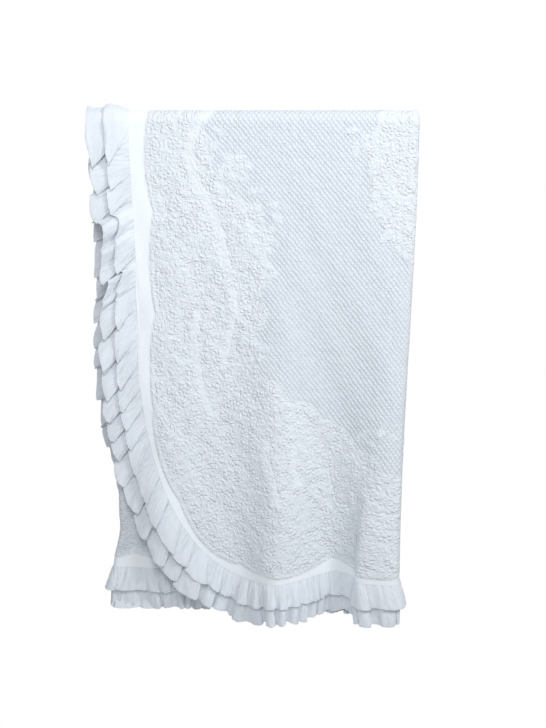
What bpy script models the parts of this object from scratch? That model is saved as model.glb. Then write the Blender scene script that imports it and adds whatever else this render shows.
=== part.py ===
"""Ruffled bedspread, folded in thirds like a letter and hung over an unseen rod.

The quilted panel is one sheet: a front third, a middle third that hangs rearmost and a last
third folded in between them. The sheet runs up the front, over the rod and down the back.
Two gathered ruffles are sewn all round its edge. Metres, +Z up, the shown face towards -Y,
origin at the middle of the top edge.
"""
import math

import bmesh
import bpy
from mathutils import Vector

# Cloth thicknesses and colours
PANEL_THICK = 0.003
RUFFLE_THICK = 0.001
WHITE = (0.86, 0.88, 0.91, 1)
PALE = (0.80, 0.83, 0.88, 1)

# The rod is not built: its radius and the layer spacing set the bend over the top
ROD_RADIUS = 0.014
GAP_TOP = 0.008
GAP_LOW = 0.026
LAYERS_OVER = 2
AXIS_Z = -(ROD_RADIUS + LAYERS_OVER * GAP_TOP + PANEL_THICK / 2)
ARC_RADIUS = ROD_RADIUS + GAP_TOP
ARC = ARC_RADIUS * math.pi / 2

# Flat widths of the three thirds and of the two turns between them
FRONT_WIDTH = 0.690
RIGHT_TURN = 0.050
MIDDLE_WIDTH = 0.735
LEFT_TURN = 0.026
LAST_WIDTH = 0.560
S_RIGHT = FRONT_WIDTH
S_MIDDLE = S_RIGHT + RIGHT_TURN
S_LEFT = S_MIDDLE + MIDDLE_WIDTH
S_LAST = S_LEFT + LEFT_TURN
S_END = S_LAST + LAST_WIDTH
TURNS = ((S_RIGHT, S_MIDDLE), (S_LEFT, S_LAST))

# Share of the folds' swell that each third takes, from the outermost inwards
MIDDLE_SHARE = 0.15
LAST_SHARE = 0.45

# Edges of the hung stack: the front seam, the two fold edges and the last third's end, each
# with how far it has moved at FALL below the top
FALL = 1.1
SEAM_X = -0.350
SEAM_DRIFT = 0.012
BACK_SEAM_DRIFT = -0.031
RIGHT_X = 0.357
RIGHT_DRIFT = -0.036
LEFT_X = -0.414
LEFT_DRIFT = 0.022
LAST_END_X = 0.170
RIGHT_BULGE = (0.008, 0.018)
LEFT_BULGE = (0.006, 0.012)

# How far the hidden thirds' hems are drawn up, at the front and at the back
FRONT_LIFT = 0.022
BACK_LIFT = 0.010

# Each cloth is one sheet. It is built as separate solids for its two falls and the bend between
# them, this far apart, so that the collision pieces leave the rod's place open.
SPLIT_GAP = 0.0004

# Half length of the panel along the hang, and its rounded corners
HALF_LENGTH = 1.173
CORNER_WIDE = 0.330
CORNER_TALL = 0.620

# Ruffles: depth from seam to hem, and the seam clearance
UPPER_DEPTH = 0.064
LOWER_DEPTH = 0.112
SEAM_GAP = 0.0014
DROOP = math.radians(36)
SHOWN_PITCH = 0.064
HIDDEN_PITCH = 0.084
TIER_STEP_HEAD = 0.0009
UPPER_STEP_HEM = 0.0042
LOWER_STEP_HEM = -0.0052
LEFT_FLARE = 0.040
RIGHT_FLARE = 0.016

# How high the pleats stand at the hem: shown edge, both turns, hidden middle third, last third
SHOWN_WAVE = 0.022
RIGHT_TURN_WAVE = 0.008
RIGHT_INNER_WAVE = -0.002
HIDDEN_WAVE = -0.009
TURN_WAVE = -0.003
LAST_WAVE = 0.016
LAST_SIDE_WAVE = (0.0015, 0.008)

# The pleats' uneven spacing: start along the edge and two waves of their widths
FIRST_PLEAT = -0.030
WIDTH_WAVES = ((0.20, 2.4, 0.7), (0.12, 5.1, 0.0))
VIGOUR_WAVE = (0.85, 0.25, 1.9, 0.4)
LAST_SHOWN = 0.2
BEND_ZONE = 0.085
TURN_ZONE = 0.045
NARROWEST = 0.0015

# The side ruffle is shorter over the bend and longer where the edge rounds the corner
BEND_REACH = -0.13
CORNER_REACH = 0.2

# Each pleat along the edge: share of its length, how far it stands out, how far it reaches
SIDE_PLEAT = ((0.0, 0.0, 1.0), (0.40, 0.62, 0.985), (0.80, 1.0, 0.96), (0.93, 0.10, 0.93))
HEM_PLEAT = ((0.0, 0.0, 0.97), (0.28, 0.85, 1.0), (0.56, 1.0, 1.0), (0.83, 0.12, 0.98))


def smooth(low, high, value):
    """Return 0 at low, 1 at high and a soft step between; high may be the smaller."""
    share = min(max((value - low) / (high - low), 0.0), 1.0)
    return share * share * (3 - 2 * share)


def blend(first, second, share):
    return first + (second - first) * share


def fold_edges(drop, side):
    """Return the x of the front seam, the two fold edges and the last third's end."""
    fall = smooth(0.0, FALL, drop)
    seam = SEAM_X + SEAM_DRIFT * smooth(0.05, 0.35, drop)
    if side > 0:
        seam += BACK_SEAM_DRIFT * smooth(0.0, 0.6, drop)
    return seam, RIGHT_X + RIGHT_DRIFT * fall, LEFT_X + LEFT_DRIFT * fall, LAST_END_X


# Soft folds hanging down the cloth: crest x, width left and right of it, height at the hem,
# start below the top
FRONT_FOLDS = ((-0.190, 0.075, 0.070, 0.030, 0.25), (0.025, 0.075, 0.072, 0.050, 0.15),
               (0.285, 0.052, 0.070, 0.054, 0.15))
BACK_FOLDS = ((-0.230, 0.080, 0.080, 0.034, 0.20), (0.020, 0.070, 0.070, 0.028, 0.30),
              (0.240, 0.080, 0.080, 0.044, 0.15))

# Where the front hem is drawn up between two folds
HITCH_X = 0.165
HITCH_WIDTH = 0.060
HITCH_RISE = 0.014


def swell(x, drop, side):
    """Return how far the soft folds push the outermost layer outwards."""
    total = 0.0
    for crest, left_width, right_width, height, start in FRONT_FOLDS if side < 0 else BACK_FOLDS:
        width = left_width if x < crest else right_width
        total += height * math.exp(-((x - crest) / width) ** 2) * smooth(start, 1.25, drop)
    return total


def section(s, drop, side):
    """Return x, depth in layer gaps, share of the soft folds and hem lift at width s."""
    seam, right, left, end = fold_edges(drop, side)
    right_bulge = blend(*RIGHT_BULGE, smooth(0.0, FALL, drop))
    left_bulge = blend(*LEFT_BULGE, smooth(0.0, FALL, drop))
    turn_right = right - right_bulge
    turn_left = left + left_bulge
    if s < S_RIGHT:
        share = max(s, 0.0) / FRONT_WIDTH
        return blend(seam, turn_right, share) + min(s, 0.0), 2.0, 1.0, 0.0
    if s < S_MIDDLE:
        angle = (s - S_RIGHT) / RIGHT_TURN * math.pi
        turned = (1 - math.cos(angle)) / 2
        return (turn_right + right_bulge * math.sin(angle), 2 - 2 * turned,
                blend(1.0, MIDDLE_SHARE, turned), 0.0)
    if s < S_LEFT:
        share = (s - S_MIDDLE) / MIDDLE_WIDTH
        return blend(turn_right, turn_left, share), 0.0, MIDDLE_SHARE, share
    if s < S_LAST:
        angle = (s - S_LEFT) / LEFT_TURN * math.pi
        turned = (1 - math.cos(angle)) / 2
        return (turn_left - left_bulge * math.sin(angle), turned,
                blend(MIDDLE_SHARE, LAST_SHARE, turned), 1.0)
    share = min((s - S_LAST) / LAST_WIDTH, 1.0)
    return blend(turn_left, end, share) + max(s - S_END, 0.0), 1.0, LAST_SHARE, 1.0


def place(s, t):
    """Return the point of the hung cloth at width s and length t from the top line."""
    side = -1 if t >= 0 else 1
    drop = max(abs(t) - ARC, 0.0)
    x, depth, share, lift = section(s, drop, side)
    if abs(t) <= ARC:
        angle = abs(t) / ARC * math.pi / 2
        radius = ROD_RADIUS + depth * GAP_TOP
        return Vector((x, side * radius * math.sin(angle), AXIS_Z + radius * math.cos(angle)))
    gap = blend(GAP_TOP, GAP_LOW, smooth(0.0, FALL, drop))
    out = ROD_RADIUS + depth * gap + share * swell(x, drop, side)
    rise = (FRONT_LIFT if side < 0 else BACK_LIFT) * lift
    if side < 0 and s < S_RIGHT:
        rise += HITCH_RISE * math.exp(-((x - HITCH_X) / HITCH_WIDTH) ** 2) * smooth(0.6, 1.1, drop)
    return Vector((x, side * out, AXIS_Z - drop * (1 - rise / HALF_LENGTH)))


def face_normal(s, t):
    """Return the unit normal on the cloth's face side."""
    step = 0.0006
    along = place(s + step, t) - place(s - step, t)
    down = place(s, t + step) - place(s, t - step)
    return down.cross(along).normalized()


def half_limit(s):
    """Return the panel's half length at width s, shorter at the rounded corners."""
    edge = min(s, S_END - s)
    if edge >= CORNER_WIDE:
        return HALF_LENGTH
    share = 1 - max(edge, 0.0) / CORNER_WIDE
    return HALF_LENGTH - CORNER_TALL * (1 - math.sqrt(max(1 - share * share, 0.0)))


def spread(first, last, count):
    return [blend(first, last, i / count) for i in range(count)]


def panel_columns():
    """Return the widths of the panel's columns, close together at corners and turns."""
    corner_count = 7
    front_count, right_count, middle_count, left_count, last_count = 10, 5, 11, 4, 4
    corner = [CORNER_WIDE * (1 - math.cos(math.pi / 2 * i / corner_count))
              for i in range(corner_count)]
    widths = corner + spread(CORNER_WIDE, S_RIGHT, front_count)
    widths += spread(S_RIGHT, S_MIDDLE, right_count) + spread(S_MIDDLE, S_LEFT, middle_count)
    widths += spread(S_LEFT, S_LAST, left_count) + spread(S_LAST, S_END - CORNER_WIDE, last_count)
    return widths + [S_END - w for w in reversed(corner)]


HALF_BEND_ROWS = 4
FALL_ROWS = 13


def bend_length(s, share):
    """Return length t of a row in the bend, where all rows are level."""
    return (ARC - SPLIT_GAP / 2) * (2 * share - 1)


def fall_length(s, share):
    """Return length t of a row in a fall, where the rows share it out evenly."""
    return blend(ARC + SPLIT_GAP / 2, half_limit(s), share)


def grid_object(name, columns, rows, point, thickness, colour):
    """Make a cloth solid from a grid of points, thickened both ways."""
    mesh = bpy.data.meshes.new(name)
    shape = bmesh.new()
    bmesh.ops.create_grid(shape, x_segments=columns, y_segments=rows, size=1.0)
    for vert in shape.verts:
        column = round((vert.co.x + 1) / 2 * columns)
        row = round((vert.co.y + 1) / 2 * rows)
        vert.co = point(column, row)
    bmesh.ops.recalc_face_normals(shape, faces=shape.faces)
    shape.to_mesh(mesh)
    shape.free()
    part = bpy.data.objects.new(name, mesh)
    skin = part.modifiers.new("cloth thickness", "SOLIDIFY")
    skin.thickness = thickness
    skin.offset = 0
    material = bpy.data.materials.new(name.replace("_", " ") + " cotton")
    material.use_nodes = True
    shader = material.node_tree.nodes["Principled BSDF"]
    shader.inputs["Base Color"].default_value = colour
    shader.inputs["Roughness"].default_value = 0.9
    mesh.materials.append(material)
    return part


def edge_path():
    """Return the panel's edge as closely spaced (s, t) points, once round."""
    quarter = []
    level = HALF_LENGTH - CORNER_TALL
    side_count, corner_count, hem_count = 180, 240, 560
    for i in range(side_count):
        quarter.append((0.0, level * i / side_count))
    for i in range(corner_count):
        angle = math.pi / 2 * i / corner_count
        quarter.append((CORNER_WIDE * (1 - math.cos(angle)), level + CORNER_TALL * math.sin(angle)))
    middle = S_END / 2
    for i in range(hem_count):
        quarter.append((blend(CORNER_WIDE, middle, i / hem_count), HALF_LENGTH))
    quarter.append((middle, HALF_LENGTH))
    mirrored = [(S_END - s, t) for s, t in reversed(quarter[1:-1])]
    front = quarter + mirrored + [(S_END, 0.0)]
    back = [(s, -t) for s, t in reversed(front[1:-1])]
    return front + back


def wave_height(s, t):
    """Return how high the pleats stand at the hem, towards the outer side of the stack."""
    drop = abs(t)
    if s < S_RIGHT:
        return blend(SHOWN_WAVE, RIGHT_TURN_WAVE, smooth(S_RIGHT - 0.06, S_RIGHT, s))
    if s < S_MIDDLE:
        return blend(RIGHT_TURN_WAVE, RIGHT_INNER_WAVE, smooth(S_RIGHT, S_MIDDLE, s))
    if s < S_LEFT:
        near_turn = max(smooth(S_MIDDLE + 0.08, S_MIDDLE, s), smooth(S_LEFT - 0.08, S_LEFT, s))
        return blend(HIDDEN_WAVE, TURN_WAVE, near_turn)
    if s < S_LAST:
        return blend(TURN_WAVE, -TURN_WAVE, smooth(S_LEFT, S_LAST, s))
    if drop > HALF_LENGTH - 0.1:
        inwards = s - S_LAST
        return blend(-TURN_WAVE, LAST_WAVE, smooth(0.0, 0.07, inwards)) * blend(
            1.0, 0.5, smooth(0.16, 0.26, inwards))
    return blend(*LAST_SIDE_WAVE, smooth(0.1, 1.0, drop))


def flare(s, t):
    """Return how far sideways the ruffles fan out where a fold reaches the hem."""
    if abs(t) < HALF_LENGTH - 0.01:
        return 0.0
    left = smooth(S_LEFT - 0.050, S_LEFT, s) * smooth(S_LAST + 0.050, S_LAST, s)
    right = smooth(S_RIGHT - 0.060, S_RIGHT + 0.010, s) * smooth(S_MIDDLE + 0.050, S_MIDDLE - 0.010, s)
    return RIGHT_FLARE * right - LEFT_FLARE * left


def looseness(s, t):
    """Return how far apart the two tiers hang, small where the cloth presses them."""
    if s < S_LAST or abs(t) > HALF_LENGTH - 0.1:
        return 1.0
    return blend(0.5, 1.0, smooth(0.1, 0.9, abs(t)))


def pleat_starts(path, lengths):
    """Return where each pleat starts along the edge, unevenly spaced, once round."""
    total = lengths[-1]
    starts = [FIRST_PLEAT]
    while starts[-1] < total + FIRST_PLEAT:
        s, t = interpolate(path, lengths, starts[-1] % total)
        pitch = SHOWN_PITCH if s < S_RIGHT or S_LAST < s < S_LAST + LAST_SHOWN else HIDDEN_PITCH
        k = len(starts)
        uneven = sum(share * math.sin(rate * k + phase) for share, rate, phase in WIDTH_WAVES)
        starts.append(starts[-1] + pitch * (1 + uneven))
    stretch = total / (starts[-1] - starts[0])
    return [starts[0] + (start - starts[0]) * stretch for start in starts]


def pleat_corners(path, lengths):
    """Return each corner of the pleats round the edge: where it is, its height and reach."""
    total = lengths[-1]
    starts = pleat_starts(path, lengths)
    result = []
    for k in range(len(starts) - 1):
        begin, end = starts[k], starts[k + 1]
        s, t = interpolate(path, lengths, (begin + end) / 2 % total)
        turning = any(low - TURN_ZONE < s < high + TURN_ZONE for low, high in TURNS)
        bending = turning or abs(t) < BEND_ZONE
        mean, swing, rate, phase = VIGOUR_WAVE
        vigour = mean + swing * math.sin(rate * k + phase)
        pleat = list(HEM_PLEAT if abs(t) > HALF_LENGTH - 0.03 else SIDE_PLEAT)
        if bending:
            closed = pleat + [(1.0, 0.0, pleat[0][2])]
            middles = [tuple((a + b) / 2 for a, b in zip(one, two))
                       for one, two in zip(closed, closed[1:])]
            pleat = sorted(pleat + middles)
        result += [(blend(begin, end, share), height * vigour, reach)
                   for share, height, reach in pleat]
    return result


def cut_run(ring, low, high):
    """Return the ring's corners from low to high, with a corner made at each cut."""
    def made(where):
        after = next(i for i, corner in enumerate(ring) if corner[0] > where)
        first, second = ring[after - 1], ring[after]
        share = (where - first[0]) / (second[0] - first[0])
        return where, blend(first[1], second[1], share), blend(first[2], second[2], share)

    inner = [corner for corner in ring if low + NARROWEST < corner[0] < high - NARROWEST]
    return [made(low)] + inner + [made(high)]


def ruffle_runs():
    """Return the nodes of each run of ruffle: the bend at either edge, and the two falls."""
    path = edge_path()
    lengths = [0.0]
    for first, second in zip(path, path[1:] + path[:1]):
        lengths.append(lengths[-1] + math.dist(first, second))
    total = lengths[-1]
    corners = pleat_corners(path, lengths)
    ring = [(where + lap * total, height, reach)
            for lap in (-1, 0, 1) for where, height, reach in corners]
    cuts = (("top_outer", -ARC, ARC), ("front", ARC, total / 2 - ARC),
            ("top_inner", total / 2 - ARC, total / 2 + ARC), ("back", total / 2 + ARC, total - ARC))
    return {name: [ruffle_node(path, lengths, *corner)
                   for corner in cut_run(ring, low + SPLIT_GAP / 2, high - SPLIT_GAP / 2)]
            for name, low, high in cuts}


def ruffle_node(path, lengths, where, height, reach):
    """Return one node: where the head is, which way the hem lies from it, height and reach."""
    total = lengths[-1]
    s, t = interpolate(path, lengths, where % total)
    ahead = interpolate(path, lengths, (where + 0.004) % total)
    behind = interpolate(path, lengths, (where - 0.004) % total)
    run = Vector((ahead[0] - behind[0], ahead[1] - behind[1])).normalized()
    out = Vector((-run.y, run.x))
    upright = 1 - abs(out.y)
    turn = DROOP * upright * smooth(0.04, 0.34, abs(t)) * math.copysign(1, t)
    turn *= -1 if out.x > 0 else 1
    drooped = Vector((out.x * math.cos(turn) + out.y * math.sin(turn),
                      -out.x * math.sin(turn) + out.y * math.cos(turn)))
    near_bend = 1 - smooth(0.0, 0.3, abs(t))
    reach *= 1 + upright * (BEND_REACH * near_bend + CORNER_REACH * (1 - upright))
    return s, t, out, drooped, height, reach


def interpolate(path, lengths, where):
    """Return the (s, t) point at a distance along the edge path."""
    low, high = 0, len(path)
    while high - low > 1:
        middle = (low + high) // 2
        if lengths[middle] <= where:
            low = middle
        else:
            high = middle
    first, second = path[low], path[(low + 1) % len(path)]
    share = (where - lengths[low]) / max(lengths[low + 1] - lengths[low], 1e-9)
    return blend(first[0], second[0], share), blend(first[1], second[1], share)


def ruffle_point(node, depth, step_hem, at_hem):
    """Return a ruffle's point at its head in the seam or at its hem."""
    s, t, out, drooped, height, reach = node
    if not at_hem:
        s, t = s + out.x * SEAM_GAP, t + out.y * SEAM_GAP
        return place(s, t) + face_normal(s, t) * math.copysign(TIER_STEP_HEAD, step_hem)
    hem_s, hem_t = s + drooped.x * depth * reach, t + drooped.y * depth * reach
    rise = wave_height(s, t) * height * depth / LOWER_DEPTH + step_hem * looseness(s, t)
    fan = Vector((flare(s, t), 0, 0))
    return place(hem_s, hem_t) + face_normal(hem_s, hem_t) * rise + fan


def panel(name, widths, row_count, side, length):
    """Make one solid of the quilted panel, across all its thirds."""
    def point(column, row):
        return place(widths[column], side * length(widths[column], row / row_count))
    return grid_object(name, len(widths) - 1, row_count, point, PANEL_THICK, WHITE)


def ruffle(name, nodes, depth, step_hem):
    """Make one run of a tier as a gathered strip along the panel's edge."""
    def point(column, row):
        return ruffle_point(nodes[column], depth, step_hem, row == 1)
    return grid_object(name, len(nodes) - 1, 1, point, RUFFLE_THICK, PALE)


def main():
    for old in list(bpy.data.objects):
        bpy.data.objects.remove(old, do_unlink=True)
    group = bpy.data.collections.new("ruffled_bedspread")
    bpy.context.scene.collection.children.link(group)
    widths = panel_columns()
    group.objects.link(panel("quilted_panel_front", widths, FALL_ROWS, 1, fall_length))
    group.objects.link(panel("quilted_panel_top", widths, 2 * HALF_BEND_ROWS, 1, bend_length))
    group.objects.link(panel("quilted_panel_back", widths, FALL_ROWS, -1, fall_length))
    for run, nodes in ruffle_runs().items():
        group.objects.link(ruffle("ruffle_upper_" + run, nodes, UPPER_DEPTH, UPPER_STEP_HEM))
        group.objects.link(ruffle("ruffle_lower_" + run, nodes, LOWER_DEPTH, LOWER_STEP_HEM))


main()
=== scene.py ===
"""Looks of a white quilted bedspread with a two-tier gathered ruffle, folded in thirds and hung.

The file is laid out as a Blender add-on. The cloth is worked out flat first: width s runs across
the three thirds and length t runs from the top line, down the front where it is positive and
down the back where it is negative. One function then hangs every flat point in its folds.
"""
import math

import bmesh
import bpy
import numpy as np
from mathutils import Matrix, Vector


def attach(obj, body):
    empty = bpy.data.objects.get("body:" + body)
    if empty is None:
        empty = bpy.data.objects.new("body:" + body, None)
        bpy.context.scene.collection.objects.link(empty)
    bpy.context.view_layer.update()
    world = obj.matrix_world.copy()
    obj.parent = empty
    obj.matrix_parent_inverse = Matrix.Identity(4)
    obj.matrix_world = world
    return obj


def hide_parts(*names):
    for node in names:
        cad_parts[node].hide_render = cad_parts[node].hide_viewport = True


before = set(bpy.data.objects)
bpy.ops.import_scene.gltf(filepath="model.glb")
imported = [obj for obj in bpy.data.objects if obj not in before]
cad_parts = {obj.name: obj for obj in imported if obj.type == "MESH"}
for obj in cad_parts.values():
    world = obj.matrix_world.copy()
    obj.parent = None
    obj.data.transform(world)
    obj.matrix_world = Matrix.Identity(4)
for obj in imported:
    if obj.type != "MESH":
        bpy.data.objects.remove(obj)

bl_info = {
    "name": "Ruffled Bedspread",
    "version": (1, 0, 0),
    "blender": (4, 5, 0),
    "location": "View3D > Sidebar > Bedspread",
    "description": "Quilted white bedspread with gathered ruffles, folded in thirds and hung",
    "category": "Add Mesh",
}

# Cloth and folds, the same values as in the part's source
PANEL_THICK = 0.003
ROD_RADIUS = 0.014
GAP_TOP = 0.008
GAP_LOW = 0.026
LAYERS_OVER = 2
AXIS_Z = -(ROD_RADIUS + LAYERS_OVER * GAP_TOP + PANEL_THICK / 2)
ARC_RADIUS = ROD_RADIUS + GAP_TOP
ARC = ARC_RADIUS * math.pi / 2
FRONT_WIDTH = 0.690
RIGHT_TURN = 0.050
MIDDLE_WIDTH = 0.735
LEFT_TURN = 0.026
LAST_WIDTH = 0.560
S_RIGHT = FRONT_WIDTH
S_MIDDLE = S_RIGHT + RIGHT_TURN
S_LEFT = S_MIDDLE + MIDDLE_WIDTH
S_LAST = S_LEFT + LEFT_TURN
S_END = S_LAST + LAST_WIDTH
MIDDLE_SHARE = 0.15
LAST_SHARE = 0.45
FALL = 1.1
SEAM_X = -0.350
SEAM_DRIFT = 0.012
BACK_SEAM_DRIFT = -0.031
RIGHT_X = 0.357
RIGHT_DRIFT = -0.036
LEFT_X = -0.414
LEFT_DRIFT = 0.022
LAST_END_X = 0.170
RIGHT_BULGE = (0.008, 0.018)
LEFT_BULGE = (0.006, 0.012)
FRONT_LIFT = 0.022
BACK_LIFT = 0.010
HALF_LENGTH = 1.173
CORNER_WIDE = 0.330
CORNER_TALL = 0.620
UPPER_DEPTH = 0.064
LOWER_DEPTH = 0.112
SEAM_GAP = 0.0014
DROOP = math.radians(36)
SHOWN_PITCH = 0.064
HIDDEN_PITCH = 0.084
UPPER_STEP_HEM = 0.0042
LOWER_STEP_HEM = -0.0052
LEFT_FLARE = 0.022
RIGHT_FLARE = 0.016
SHOWN_WAVE = 0.022
RIGHT_TURN_WAVE = 0.008
RIGHT_INNER_WAVE = -0.002
HIDDEN_WAVE = -0.009
TURN_WAVE = -0.003
LAST_WAVE = 0.016
LAST_SIDE_WAVE = (0.0015, 0.008)
WIDTH_WAVES = ((0.20, 2.4, 0.7), (0.12, 5.1, 0.0))
VIGOUR_WAVE = (0.78, 0.22, 1.9, 0.4)
LAST_SHOWN = 0.2
BEND_REACH = -0.13
CORNER_REACH = 0.2
# Soft folds: crest x, width left and right of it, height at the hem, start below the top
FRONT_FOLDS = ((-0.275, 0.065, 0.105, 0.030, 0.20), (0.010, 0.070, 0.064, 0.055, 0.15),
               (0.287, 0.074, 0.070, 0.058, 0.15), (0.150, 0.050, 0.045, -0.018, 0.40))
BACK_FOLDS = ((-0.230, 0.080, 0.080, 0.034, 0.20), (0.020, 0.070, 0.070, 0.028, 0.30),
              (0.240, 0.080, 0.080, 0.044, 0.15))
# Width s of the hollow between two folds, where the hem's pleats are flattened
RECESS_S = 0.545
# Where the right-hand fold leans over the hollow beside it: width s, how far, how wide
FOLD_OVER = (0.632, 0.036, 0.031)
# How far the left-hand fold spreads outwards near the hem
FOOT_SPREAD = 0.020
# Where the front's hem is drawn up a little: its x, width and height
HITCH_X = 0.165
HITCH_WIDTH = 0.060
HITCH_RISE = 0.014

# How far down the left fold starts to spread and the right one to lean, where each does so in
# full, and where the soft folds reach their full height
FOOT_START, FOOT_FULL = 1.03, 1.15
LEAN_START, LEAN_FULL = 0.78, 1.13
FOLDS_FULL = 1.25

# Gentle waviness of the hanging cloth: height, waves per metre across and down, phase
RIPPLES = ((0.0012, 6.3, 2.1, 0.4), (0.0009, -9.7, 4.4, 1.9), (0.0006, 15.0, 7.9, 0.8))

# Quilted design, drawn in one quarter and mirrored: a is in from the side, b down from the top
SCALLOP_COUNT = 8
SIDE_MARGIN = 0.034
HEM_MARGIN = 0.013
SIDE_SCALLOP = 0.016
HEM_SCALLOP = 0.036
FAN_WIDTH = 0.016
# Flowers: a, b, radius, petals, turn
FLOWERS = (
    (0.255, 0.145, 0.040, 6, 0.3), (0.300, 0.330, 0.046, 7, 0.9), (0.130, 0.330, 0.034, 6, 0.0),
    (0.195, 0.360, 0.028, 5, 0.5), (0.610, 0.235, 0.034, 6, 0.7), (0.585, 0.085, 0.030, 5, 0.2),
    (0.190, 0.720, 0.038, 6, 0.4), (0.270, 0.640, 0.034, 6, 1.0), (0.345, 0.760, 0.042, 7, 0.1),
    (0.450, 0.830, 0.040, 6, 0.8), (0.560, 0.880, 0.036, 6, 0.3), (0.430, 0.990, 0.046, 7, 0.6),
    (0.300, 0.930, 0.036, 6, 0.2), (0.590, 1.020, 0.042, 7, 0.5), (0.930, 0.130, 0.050, 8, 0.2),
    (0.800, 0.900, 0.044, 7, 0.4), (0.950, 0.760, 0.040, 6, 0.0), (0.980, 1.030, 0.042, 7, 0.3),
)
# Leafy sprays: start a, b, end a, b, bow, leaves
SPRAYS = (
    (0.200, 0.050, 0.330, 0.240, 0.030, 9), (0.340, 0.260, 0.270, 0.440, -0.030, 8),
    (0.110, 0.380, 0.120, 0.620, 0.020, 10), (0.230, 0.460, 0.300, 0.600, 0.030, 7),
    (0.520, 0.060, 0.640, 0.330, -0.040, 11), (0.250, 0.700, 0.400, 0.900, 0.040, 10),
    (0.400, 0.880, 0.620, 0.960, 0.030, 10), (0.120, 0.760, 0.240, 0.860, -0.020, 6),
    (0.480, 0.780, 0.660, 0.800, 0.030, 8), (0.350, 1.020, 0.620, 1.080, -0.030, 11),
    (0.700, 0.820, 0.920, 0.900, 0.030, 10), (0.720, 1.040, 0.960, 0.960, 0.030, 10),
    (0.840, 0.060, 0.980, 0.260, -0.030, 9),
)
# Plain ribbons: width, then a at several b
RIBBONS = (
    (0.024, ((0.000, 0.205), (0.045, 0.162), (0.105, 0.143), (0.180, 0.160), (0.267, 0.203),
             (0.400, 0.232))),
    (0.015, ((0.430, 0.244), (0.500, 0.250), (0.570, 0.238), (0.640, 0.222))),
    (0.017, ((0.480, 0.158), (0.550, 0.148), (0.620, 0.156), (0.690, 0.168), (0.760, 0.200))),
    (0.019, ((0.800, 0.345), (0.850, 0.340), (0.920, 0.360), (0.980, 0.372))),
    (0.016, ((0.820, 0.415), (0.890, 0.412), (0.950, 0.446))),
)
# Left and lower limit of the diamond field: b and the a it starts at
FIELD_LIMIT = ((0.000, 0.195), (0.180, 0.200), (0.260, 0.330), (0.450, 0.335), (0.570, 0.315),
               (0.660, 0.340), (0.720, 0.420), (0.780, 0.520), (0.850, 0.610), (0.910, 0.690),
               (0.930, 1.100))
# Wreath in the middle of the field: centre a, b, half width, half height, ring radii
WREATH = (0.735, 0.130, 0.150, 0.255)
WREATH_RINGS = (0.42, 0.56, 0.98)

# One pleat along a tier's hem: share of the pleat, how far it stands out, how far it reaches.
# On the sides each pleat sags over the next one; along the hem it hangs in two round flutes.
SIDE_KNIFE = ((0.00, 0.00, 1.00), (0.18, 0.16, 1.02), (0.45, 0.52, 1.02), (0.75, 0.86, 0.99),
              (0.96, 1.00, 0.94), (1.05, 0.90, 0.89), (1.05, 0.66, 0.89), (0.95, 0.40, 0.91),
              (0.89, 0.18, 0.95), (0.92, 0.04, 0.98), (1.00, 0.00, 1.00))
HEM_FLUTE = ((0.00, 0.00, 0.98), (0.12, 0.06, 0.98), (0.15, 0.50, 0.99), (0.21, 0.88, 1.00),
             (0.33, 1.00, 1.01), (0.44, 0.86, 1.00), (0.49, 0.50, 0.99), (0.50, 0.26, 0.98),
             (0.58, 0.20, 0.98), (0.62, 0.46, 0.99), (0.69, 0.74, 1.00), (0.79, 0.82, 1.00),
             (0.89, 0.66, 0.99), (0.93, 0.34, 0.98), (0.93, 0.08, 0.98), (1.00, 0.00, 0.98))
# Two pleats of the left side are twisted, so that their middles face down and their hems are
# drawn in towards the seam
TWISTED = ((0.00, 0.00, 0.96), (0.04, 0.60, 0.80), (0.10, 1.20, 0.64), (0.22, 1.30, 0.60),
           (0.38, 0.85, 0.70), (0.50, 0.25, 0.84), (0.58, 0.00, 0.92), (0.63, 0.35, 0.92),
           (0.72, 0.95, 0.86), (0.82, 0.80, 0.90), (0.93, 0.25, 0.96), (1.00, 0.00, 1.00))
# Where the twisted pleats start, and how much higher than the others each stands
TWISTED_STARTS = {0.232: 2.1, 0.370: 1.35}
PLEAT_SAMPLES = 24
# Where the first pleats of the front's left side start, down from the top line
FIRST_PLEATS = (-0.030, 0.122, 0.180, 0.232, 0.330, 0.370, 0.432, 0.508, 0.584, 0.655, 0.709,
                0.755, 0.803, 0.867)

# Each tier is one strip here and four solids in the part's source
RUNS = ("front", "back", "top_outer", "top_inner")

# How far the ruffles' heads are tucked in under the panel, how deep each lies there, and how
# far the panel's edge lies out over them
HEAD_TUCK = 0.0035
UPPER_HEAD_DEPTH = 0.0011
LOWER_HEAD_DEPTH = 0.0023
EDGE_OVERLAP = 0.0015
# Share of the lower tier's depth over which the pleats start to stand, past the seam
STAND_START, STAND_FULL = 0.035, 0.09
# Fine gathers that run out of the seam, and round flutes that grow towards the hem
GATHER_PITCH = 0.0115
GATHER_HEIGHT = 0.0013
FLUTE_PITCH = 0.021
FLUTE_HEIGHT = 0.0020
# How far the flutes sway sideways, and how far each tier's hem curls in
SWAY = 0.006
UPPER_CURL = -0.003
LOWER_CURL = -0.010
# How far the ruffle puffs up where it rolls over the bend at the top, and how far it reaches
TOP_ROLL = 0.011
TOP_ROLL_REACH = 0.075
# Unevenness of the pleats: least and added height, reach, and how far a fold wanders sideways
HEM_HEIGHT = (0.45, 0.85)
SIDE_HEIGHT = (0.55, 0.70)
REACH_WAVE = 0.035
REACH_CHANCE = 0.03
FOLD_WANDER = 0.09


# Fine relief of the quilted cotton. The pick stitches are drawn at 4.2 mm instead of the real
# 2 mm so that they show at all.
LOOM_WANDER = 0.0075
PICK_PITCH = 0.0042
PICK_DEPTH = 0.0012
SLACK_SIZE = 0.022
SLACK_HEIGHT = 0.0050
# How much painted shade, in the groove's colour, the diamonds, the whole ground and the deep
# stitches take
FIELD_PAINTED_SHADE = 0.26
GROUND_PAINTED_SHADE = 0.16
HOLLOW_PAINTED_SHADE = 0.20
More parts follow.
